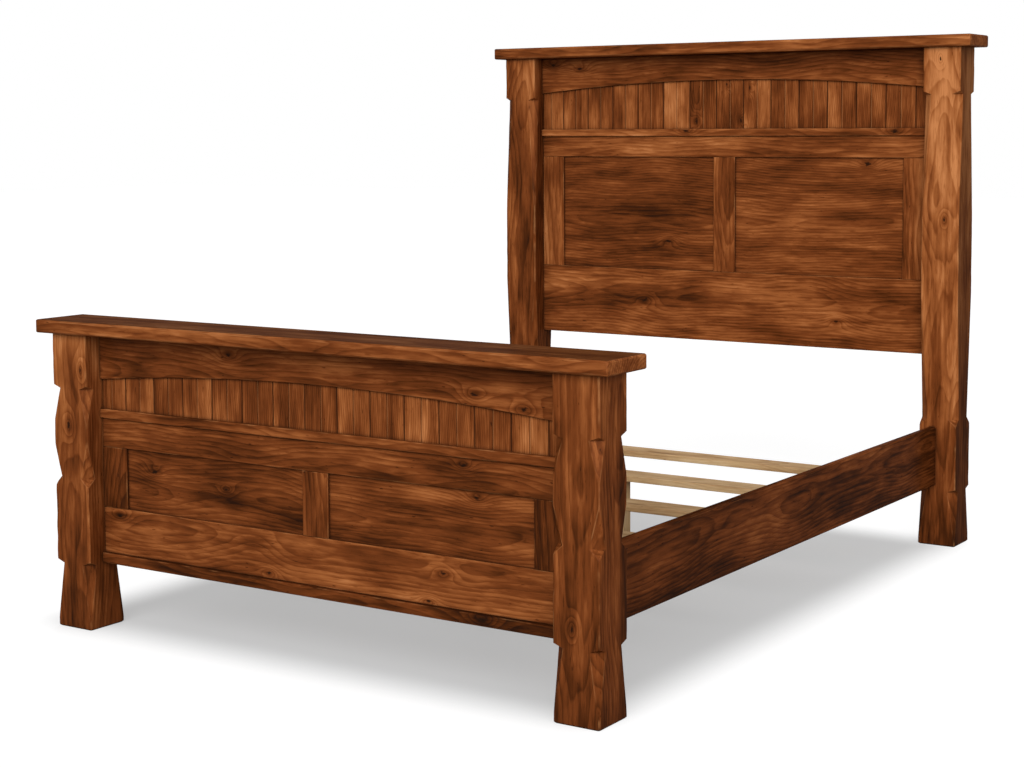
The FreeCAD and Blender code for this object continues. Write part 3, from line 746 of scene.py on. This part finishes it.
# Arched rails
# A deep rail under each cap, of the same wood, its lower edge sawn to one long arc. Tenons hold it in the
# posts, and a slot in the arc takes the upper ends of the boards.

ARCH_KNOTS = {
    "footboard_arched_rail": [
        ((-0.274, -1.112, 0.770), 0.007),
        ((0.490, -1.112, 0.726), 0.007),
        ((0.627, -1.112, 0.702), 0.007),
    ],
    "headboard_arched_rail": [((-0.689, 1.098, 1.572), 0.008), ((-0.575, 1.098, 1.558), 0.007)],
}
for node, seed, tone in (("footboard_arched_rail", 100.0, 0.01), ("headboard_arched_rail", 104.0, -0.02)):
    low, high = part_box(node)
    pith = (0.0, high.y + 0.03, low.z + 0.02)
    # The arched rails keep a third of the painted shade near inner corners, as under the caps.
    material = stained_wood(node + "_wood", "X", seed, pith, tone, knots=ARCH_KNOTS[node], hollow_shade_share=0.34)
    stand_for(node, eased(node, RAIL_ARRIS, "X", RAIL_STEP, RAIL_WEAR, seed), material)


# Caps
# A thick flat board on the posts of each end, of the same wood, with a small bevel on every edge. Two dowels
# of plain wood in the top of each post hold it, and don't show.

CAP_ARRIS = 0.0015
CAP_WEAR = 0.0008
for node, seed, tone in (("footboard_cap", 110.0, 0.16), ("headboard_cap", 114.0, 0.07)):
    low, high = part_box(node)
    pith = (0.0, high.y + 0.02, low.z - 0.06)
    # Painted shade darkens the top face of each cap.
    material = stained_wood(node + "_wood", "X", seed, pith, tone, painted_shade_face=("Z", high.z, 0.60))
    stand_for(node, eased(node, CAP_ARRIS, "X", RAIL_STEP, CAP_WEAR, seed), material)

PLAIN_CORNER_SHADE = 0.3
PLAIN = [
    (0.00, (0.20, 0.105, 0.042)),
    (0.30, (0.46, 0.275, 0.128)),
    (0.60, (0.62, 0.410, 0.212)),
    (1.00, (0.78, 0.58, 0.35)),
]
dowel_wood = stained_wood("dowel_wood", "Z", 118.0, (0.0, 0.0, 0.0), stain=PLAIN, corner_shade_share=PLAIN_CORNER_SHADE)
dress("cap_dowels", dowel_wood)


# Side rails and cleats
# Two long stained boards that hook on to the posts. A strip of plain wood, screwed along the inside of each,
# carries the slats.

SIDE_ARRIS = 0.0015
SIDE_STEP = 0.03
SIDE_WEAR = 0.0008
PLAIN_WEAR = 0.0006
for side, seed in (("left", 120.0), ("right", 124.0)):
    node = side + "_side_rail"
    low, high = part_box(node)
    middle = (low + high) / 2
    inwards = -1 if middle.x > 0 else 1
    pith = (middle.x + inwards * 0.05, 0.0, middle.z + 0.04)
    material = stained_wood(node + "_wood", "Y", seed, pith, -0.20)
    stand_for(node, eased(node, SIDE_ARRIS, "Y", SIDE_STEP, SIDE_WEAR, seed), material)
    node = side + "_cleat"
    low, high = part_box(node)
    middle = (low + high) / 2
    pith = (0.0, 0.0, middle.z)
    material = stained_wood(node + "_wood", "Y", seed + 2, pith, stain=PLAIN, corner_shade_share=PLAIN_CORNER_SHADE)
    stand_for(node, eased(node, SIDE_ARRIS, "Y", SIDE_STEP, PLAIN_WEAR, seed), material)


# Rail hooks and sockets
# Stamped steel plates, zinc plated, with the burr taken off every edge. They are let in flush and screwed on.
# The hooks on those in the rails hang in the slots of those in the posts.

PLATE_BURR = 0.0004
SHORTEST_PLATE_EDGE = 0.0036


def plated_steel(name, colour, seed):
    """Zinc over steel, with a fine mottle."""
    material, shader, place = fresh_material(name)
    mottle = place.cloud(seed, 140.0, 3.0)
    stops = [(0.3, [0.7 * part for part in colour]), (0.7, colour)]
    tint = mottle.node("ValToRGB", {"stops": stops}, {"Fac": mottle})
    paint(shader, {"Base Color": tint, "Metallic": 1.0, "Roughness": 0.30 + 0.25 * mottle})
    return material


hook_zinc = plated_steel("hook_zinc", (0.60, 0.58, 0.52), 1.0)
for node in ("footboard_hook_sockets", "headboard_hook_sockets", "left_rail_hooks", "right_rail_hooks"):
    stand_for(node, rounded_copy(node, PLATE_BURR, SHORTEST_PLATE_EDGE), hook_zinc)


# Slats and centre legs
# Planed boards of plain wood that lie loose on the cleats. The three in the middle each have a square leg
# below them, fixed by screws.

SLAT_ARRIS = 0.0018
SLAT_COUNT = 5
LEG_NUMBERS = (2, 3, 4)
for number in range(1, SLAT_COUNT + 1):
    node = "slat_%d" % number
    low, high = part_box(node)
    middle = (low + high) / 2
    seed = 130.0 + number
    pith = (0.0, middle.y + 0.03, -0.02)
    material = stained_wood(node + "_wood", "X", seed, pith, stain=PLAIN, corner_shade_share=PLAIN_CORNER_SHADE)
    stand_for(node, eased(node, SLAT_ARRIS, "X", SIDE_STEP, PLAIN_WEAR, seed), material)
    if number in LEG_NUMBERS:
        node = "leg_%d" % number
        low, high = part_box(node)
        pith = (0.05, (low.y + high.y) / 2, 0.0)
        material = stained_wood(node + "_wood", "Z", seed + 10, pith, stain=PLAIN, corner_shade_share=PLAIN_CORNER_SHADE)
        stand_for(node, eased(node, SLAT_ARRIS, "Z", RAIL_STEP, PLAIN_WEAR, seed), material)


# Screws
# Countersunk wood screws of steel, plated with yellow zinc, with a cross recess and a rolled thread. They
# hold the cleats to the rails, the plates to the rails and posts, and the slats to their legs.

HEAD_RADIUS = 0.0044
HEAD_DEPTH = 0.0024
HEAD_SIDES = 24
CORE_RADIUS = 0.0015
CREST_RADIUS = 0.0022
CREST_HALF_WIDTH = 0.0008
SCREW_PITCH = 0.0026
SCREW_TIP = 0.005
THREAD_SHARE = 0.6
THREAD_STEPS = 10
THREAD_ROOT = 0.95 * CORE_RADIUS
CROSS_CELLS = 3
CROSS_REACH = 0.0025
CROSS_WIDTH = 0.0009
CROSS_DEPTH = 0.0015
NEXT_TURN = 1.1


def half_section(shape, profile, closed):
    """The points and edges of a half section, given as radius and height."""
    corners = [shape.verts.new((radius, 0.0, z)) for radius, z in profile]
    edges = [shape.edges.new(pair) for pair in zip(corners, corners[1:])]
    if closed:
        edges.append(shape.edges.new((corners[-1], corners[0])))
    return corners + edges


def spin_profile(shape, profile, steps, closed=False):
    """Turns a half section round the Z axis."""
    section = half_section(shape, profile, closed)
    bmesh.ops.spin(
        shape, geom=section, cent=(0, 0, 0), axis=(0, 0, 1), angle=2 * math.pi, steps=steps, use_merge=True,
    )
    bmesh.ops.remove_doubles(shape, verts=shape.verts, dist=MERGE)


def helix(shape, profile, closed, pitch, turns, steps):
    """Winds a half section up round the Z axis as a right-hand thread."""
    section = half_section(shape, profile, closed)
    bmesh.ops.spin(
        shape, geom=section, cent=(0, 0, 0), axis=(0, 0, 1), dvec=(0, 0, pitch / steps),
        angle=2 * math.pi * turns, steps=steps * turns,
    )


def close_holes(shape):
    """Fills every open edge loop and turns the faces outwards."""
    open_edges = [edge for edge in shape.edges if edge.is_boundary]
    bmesh.ops.holes_fill(shape, edges=open_edges, sides=0)
    bmesh.ops.recalc_face_normals(shape, faces=shape.faces)


def wood_screw(length):
    """A screw that points down from its head, which is at the origin."""
    shape = bmesh.new()
    shank_end = SCREW_TIP - length
    outline = [(HEAD_RADIUS, 0.0), (CORE_RADIUS, -HEAD_DEPTH), (CORE_RADIUS, shank_end), (0.0, -length)]
    spin_profile(shape, outline, HEAD_SIDES)
    rim = [edge for edge in shape.edges if edge.is_boundary]
    top = bmesh.ops.create_grid(shape, x_segments=CROSS_CELLS, y_segments=CROSS_CELLS, size=1.0)["verts"]
    for vertex in top:
        for axis in (0, 1):
            out = CROSS_REACH if abs(vertex.co[axis]) > 0.5 else CROSS_WIDTH / 2
            vertex.co[axis] = math.copysign(out, vertex.co[axis])
    cross = []
    for face in shape.faces[-CROSS_CELLS ** 2:]:
        middle = face.calc_center_median()
        if min(abs(middle.x), abs(middle.y)) < CROSS_WIDTH / 2:
            cross.append(face)
    edge_of_top = [edge for edge in shape.edges if edge.is_boundary and edge not in rim]
    bmesh.ops.bridge_loops(shape, edges=rim + edge_of_top)
    grown = bmesh.ops.extrude_face_region(shape, geom=cross)["geom"]
    floor = [item for item in grown if isinstance(item, bmesh.types.BMVert)]
    bmesh.ops.delete(shape, geom=cross, context="FACES")
    bmesh.ops.translate(shape, verts=floor, vec=(0.0, 0.0, -CROSS_DEPTH))
    turns = round(THREAD_SHARE * length / SCREW_PITCH)
    crest = shank_end + CREST_HALF_WIDTH
    ridge = [(THREAD_ROOT, shank_end), (CREST_RADIUS, crest), (THREAD_ROOT, crest + CREST_HALF_WIDTH)]
    helix(shape, ridge, True, SCREW_PITCH, turns, THREAD_STEPS)
    close_holes(shape)
    return shape


def off_axis(arm, axis):
    """How far the end of an arm is from an axis through its start."""
    arm[axis] = 0.0
    return arm.length


def screw_places(node):
    """The head, the direction and the length of each screw of a frame node."""
    shape = bmesh.new()
    shape.from_mesh(frame["nodes"][node].data)
    bmesh.ops.remove_doubles(shape, verts=shape.verts, dist=MERGE)
    places = []
    for start in shape.verts:
        if start.tag:
            continue
        start.tag = True
        island = [start]
        for vertex in island:
            for edge in vertex.link_edges:
                other = edge.other_vert(vertex)
                if not other.tag:
                    other.tag = True
                    island.append(other)
        low = Vector(min(vertex.co[i] for vertex in island) for i in range(3))
        high = Vector(max(vertex.co[i] for vertex in island) for i in range(3))
        length, axis = max((high[i] - low[i], i) for i in range(3))
        middle = (low + high) / 2
        rim = max(island, key=lambda vertex: off_axis(vertex.co - middle, axis))
        head = middle.copy()
        direction = Vector((0.0, 0.0, 0.0))
        above = rim.co[axis] > middle[axis]
        head[axis] = high[axis] if above else low[axis]
        direction[axis] = -1.0 if above else 1.0
        places.append((head, direction, length))
    shape.free()
    return places


def driven_screws(node):
    """All screws of a frame node, each where its solid is, with their recesses at different angles."""
    shape = bmesh.new()
    for count, (head, direction, length) in enumerate(screw_places(node)):
        screw = wood_screw(length)
        turn = Vector((0.0, 0.0, -1.0)).rotation_difference(direction).to_matrix().to_4x4()
        screw.transform(Matrix.Translation(head) @ turn @ Matrix.Rotation(NEXT_TURN * count, 4, "Z"))
        copy = bpy.data.meshes.new("screw")
        screw.to_mesh(copy)
        screw.free()
        shape.from_mesh(copy)
        bpy.data.meshes.remove(copy)
    return shape


screw_zinc = plated_steel("screw_zinc", (0.70, 0.62, 0.44), 2.0)
leg_screws = ["leg_screws_%d" % number for number in LEG_NUMBERS]
for node in ("cleat_screws", "hook_plate_screws", "socket_plate_screws", *leg_screws):
    stand_for(node, driven_screws(node), screw_zinc)


# Levelling feet
# A flanged steel insert in the end of each leg, a threaded steel stud with a hexagon to turn it by, and a
# moulded plastic pad that swivels on the foot of the stud and stands on the floor.

FOOT_SIDES = 48
STUD_PITCH = 0.00125
STUD_ROOT = 0.0034
STUD_CREST = 0.004
STUD_STEPS = 20
NUT_LIFT = 0.007
NUT_HEIGHT = 0.006
NUT_EDGE = 0.0005
NUT_SIDES = 6
OVERLAP = 0.0002
INSERT_PROFILE = [
    (0.00415, 0.0345), (0.0106, 0.0345), (0.0110, 0.0349), (0.0110, 0.0360),
    (0.0055, 0.0360), (0.0055, 0.0515), (0.0050, 0.0520), (0.00415, 0.0520),
]
PAD_PROFILE = [
    (0.0, 0.0008), (0.0130, 0.0008), (0.0138, 0.0), (0.0188, 0.0), (0.0197, 0.0004),
    (0.0200, 0.0013), (0.0200, 0.0032), (0.0197, 0.0041), (0.0137, 0.0112), (0.0132, 0.0117),
    (0.0125, 0.0120), (0.0056, 0.0120), (0.0051, 0.0115), (0.0051, 0.0050), (0.0, 0.0050),
]
STUD_FOOT_PROFILE = [
    (0.0, 0.0052), (0.0042, 0.0052), (0.0048, 0.0055), (0.0050, 0.0061), (0.0050, 0.0124), (0.0, 0.0124),
]


def turned_piece(profile, y, closed=False):
    """A turned piece on the axis of a foot."""
    shape = bmesh.new()
    spin_profile(shape, profile, FOOT_SIDES, closed)
    bmesh.ops.recalc_face_normals(shape, faces=shape.faces)
    bmesh.ops.translate(shape, verts=shape.verts, vec=(0.0, y, 0.0))
    return shape


def threaded_stud(node, y):
    """The thread first, cut off square at both ends, and then the hexagon and the round foot below it."""
    low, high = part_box(node)
    nut_low = low.z + NUT_LIFT
    nut_top = nut_low + NUT_HEIGHT
    shape = bmesh.new()
    start = nut_top - 2 * STUD_PITCH
    turns = round((high.z - start) / STUD_PITCH) + 1
    ridge = [(STUD_ROOT, start), (STUD_CREST, start + STUD_PITCH / 2), (STUD_ROOT, start + STUD_PITCH)]
    helix(shape, ridge, False, STUD_PITCH, turns, STUD_STEPS)
    bmesh.ops.remove_doubles(shape, verts=shape.verts, dist=MERGE)
    for z, outer, inner in ((nut_top - OVERLAP, False, True), (high.z, True, False)):
        everything = shape.verts[:] + shape.edges[:] + shape.faces[:]
        bmesh.ops.bisect_plane(
            shape, geom=everything, dist=MERGE, plane_co=(0, 0, z), plane_no=(0, 0, 1), clear_outer=outer,
            clear_inner=inner,
        )
    close_holes(shape)
    corner = (high.x - low.x) / 2
    hexagon = bmesh.ops.create_circle(shape, cap_ends=True, radius=corner, segments=NUT_SIDES)["verts"]
    turn = Matrix.Rotation(math.pi / NUT_SIDES, 3, "Z")
    bmesh.ops.rotate(shape, verts=hexagon, cent=(0, 0, 0), matrix=turn)
    bmesh.ops.translate(shape, verts=hexagon, vec=(0.0, 0.0, nut_low))
    faces = hexagon[0].link_faces[:]
    grown = bmesh.ops.extrude_face_region(shape, geom=faces, use_keep_orig=True)["geom"]
    top = [item for item in grown if isinstance(item, bmesh.types.BMVert)]
    bmesh.ops.translate(shape, verts=top, vec=(0.0, 0.0, nut_top - nut_low))
    edges = dict.fromkeys(edge for vertex in hexagon + top for edge in vertex.link_edges)
    bmesh.ops.bevel(
        shape, geom=list(edges), offset=NUT_EDGE, offset_type="OFFSET", segments=2, profile=0.5,
        affect="EDGES", clamp_overlap=True, material=-1,
    )
    spin_profile(shape, STUD_FOOT_PROFILE, FOOT_SIDES)
    bmesh.ops.recalc_face_normals(shape, faces=shape.faces)
    bmesh.ops.translate(shape, verts=shape.verts, vec=(0.0, y, 0.0))
    return shape


def moulded_plastic(name):
    """Black plastic with a fine moulded grain."""
    material, shader, place = fresh_material(name)
    grain = place.node("TexNoise", {}, {"Vector": place, "Scale": 1800.0, "Detail": 2.0})
    normal = place.node("Bump", {}, {"Strength": 0.25, "Distance": 0.0003, "Height": grain}, "Normal")
    stops = [(0.2, (0.012, 0.012, 0.013)), (0.8, (0.03, 0.03, 0.031))]
    tint = grain.node("ValToRGB", {"stops": stops}, {"Fac": grain})
    paint(shader, {"Base Color": tint, "Roughness": 0.45 + 0.2 * grain, "Normal": normal})
    return material


stud_zinc = plated_steel("stud_zinc", (0.68, 0.68, 0.66), 3.0)
pad_black = moulded_plastic("pad_black")
for number in LEG_NUMBERS:
    low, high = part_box("leg_%d" % number)
    y = (low.y + high.y) / 2
    stand_for("leg_insert_%d" % number, turned_piece(INSERT_PROFILE, y, closed=True), stud_zinc)
    node = "levelling_stud_%d" % number
    stand_for(node, threaded_stud(node, y), stud_zinc)
    stand_for("swivel_pad_%d" % number, turned_piece(PAD_PROFILE, y), pad_black)


# Stage
# A pale floor with a soft shadow painted under the bed, a white world, a wide soft lamp in front, a weaker
# one behind and a fill lamp at the right. The camera looks from the front right, from 1.34 m above the floor.

def in_view(tree):
    """1 where a ray comes from the camera, straight or by way of a mirror or a lens, and 0 elsewhere."""
    path = tree.nodes.new("ShaderNodeLightPath")
    seen = Socket(tree, path.outputs["Is Camera Ray"])
    mirrored = Socket(tree, path.outputs["Is Glossy Ray"])
    passed = Socket(tree, path.outputs["Is Transmission Ray"])
    return seen.math("MINIMUM", seen + mirrored + passed, 1.0)


WHITE = (1.0, 1.0, 1.0, 1.0)
FLOOR_HALF = 30.0
FLOOR_DROP = 0.0005
FLOOR_GREY = (0.28, 0.28, 0.28, 1.0)
FLOOR_GLOW = 0.86
SHADE_DEPTH = 0.475
# Start and end of the painted shadow along each axis, and half the width of its soft edge
SHADE_EDGES = {"X": (-0.92, 0.82, 0.11), "Y": (-1.135, 1.11, 0.13)}
floor_shape = bmesh.new()
bmesh.ops.create_grid(floor_shape, x_segments=1, y_segments=1, size=FLOOR_HALF)
bmesh.ops.translate(floor_shape, verts=floor_shape.verts, vec=(0.0, 0.0, -FLOOR_DROP))
floor_mesh = bpy.data.meshes.new("floor")
floor_shape.to_mesh(floor_mesh)
floor_shape.free()
floor = bpy.data.objects.new("floor", floor_mesh)
bpy.context.scene.collection.objects.link(floor)
floor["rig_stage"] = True

floor_paint = bpy.data.materials.new("floor_paint")
floor_paint.use_nodes = True
tree = floor_paint.node_tree
tree.nodes.remove(tree.nodes["Principled BSDF"])
place = Socket(tree, tree.nodes.new("ShaderNodeTexCoord").outputs["Object"])
# The painted shadow: the floor's glow is dimmed in a soft-edged rectangle under the bed
shade = 1.0
for axis, (start, end, soft) in SHADE_EDGES.items():
    along = place.part(axis)
    shade = shade * along.between(start - soft, start + soft) * (1.0 - along.between(end - soft, end + soft))
matt = place.node("BsdfDiffuse", {}, {"Color": FLOOR_GREY})
strength = in_view(tree) * (FLOOR_GLOW - SHADE_DEPTH * shade)
glow = place.node("Emission", {}, {"Color": WHITE, "Strength": strength})
both = place.node("AddShader", {}, {0: matt, 1: glow})
tree.links.new(both.output, tree.nodes["Material Output"].inputs["Surface"])
floor_mesh.materials.append(floor_paint)

SKY_LIGHT = 0.28
world = bpy.data.worlds.new("studio")
world.use_nodes = True
bpy.context.scene.world = world
sky = world.node_tree.nodes["Background"]
sky.inputs["Color"].default_value = WHITE
strength = SKY_LIGHT + (1.0 - SKY_LIGHT) * in_view(world.node_tree)
world.node_tree.links.new(strength.output, sky.inputs["Strength"])

LAMP_SPREAD = math.radians(50.0)
for name, energy, towards, mirrored in (
    ("front_lamp", 2.45, (-0.26, 0.82, -0.42), True),
    ("rear_lamp", 1.5, (0.40, -0.86, -0.20), False),
):
    lamp = bpy.data.lights.new(name, "SUN")
    lamp.energy = energy
    lamp.angle = LAMP_SPREAD
    holder = bpy.data.objects.new(name, lamp)
    holder.visible_glossy = mirrored
    holder.rotation_euler = Vector(towards).to_track_quat("-Z", "Y").to_euler()
    bpy.context.scene.collection.objects.link(holder)

FILL_PLACE = Vector((3.4, -2.5, 1.7))
FILL_TARGET = Vector((0.8, 0.0, 0.6))
fill_lamp = bpy.data.lights.new("fill_lamp", "AREA")
fill_lamp.shape = "DISK"
fill_lamp.size = 1.8
fill_lamp.energy = 30.0
fill = bpy.data.objects.new("fill_lamp", fill_lamp)
fill.location = FILL_PLACE
fill.rotation_euler = (FILL_TARGET - FILL_PLACE).to_track_quat("-Z", "Y").to_euler()
fill.visible_camera = False
bpy.context.scene.collection.objects.link(fill)

CAMERA_PLACE = Vector((2.98733, -4.71142, 1.34185))
CAMERA_HEADING = 0.58192
CAMERA_TILT = 0.07922
CAMERA_ROLL = 0.00479
IMAGE_WIDTH = 1024
IMAGE_HEIGHT = 768
FOCAL_PIXELS = 1892.23
AXIS_PIXEL = (520.36, 280.0)
lens = bpy.data.cameras.new("camera")
lens.sensor_width = 36.0
lens.lens = FOCAL_PIXELS / IMAGE_WIDTH * lens.sensor_width
lens.shift_x = (IMAGE_WIDTH / 2 - AXIS_PIXEL[0]) / IMAGE_WIDTH
lens.shift_y = (AXIS_PIXEL[1] - IMAGE_HEIGHT / 2) / IMAGE_WIDTH
camera = bpy.data.objects.new("camera", lens)
camera.matrix_world = (
    Matrix.Translation(CAMERA_PLACE)
    @ Matrix.Rotation(CAMERA_HEADING, 4, "Z")
    @ Matrix.Rotation(math.pi / 2 - CAMERA_TILT, 4, "X")
    @ Matrix.Rotation(-CAMERA_ROLL, 4, "Z")
)
bpy.context.scene.collection.objects.link(camera)
bpy.context.scene.camera = camera
bpy.context.scene.view_settings.view_transform = "Standard"

low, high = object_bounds()
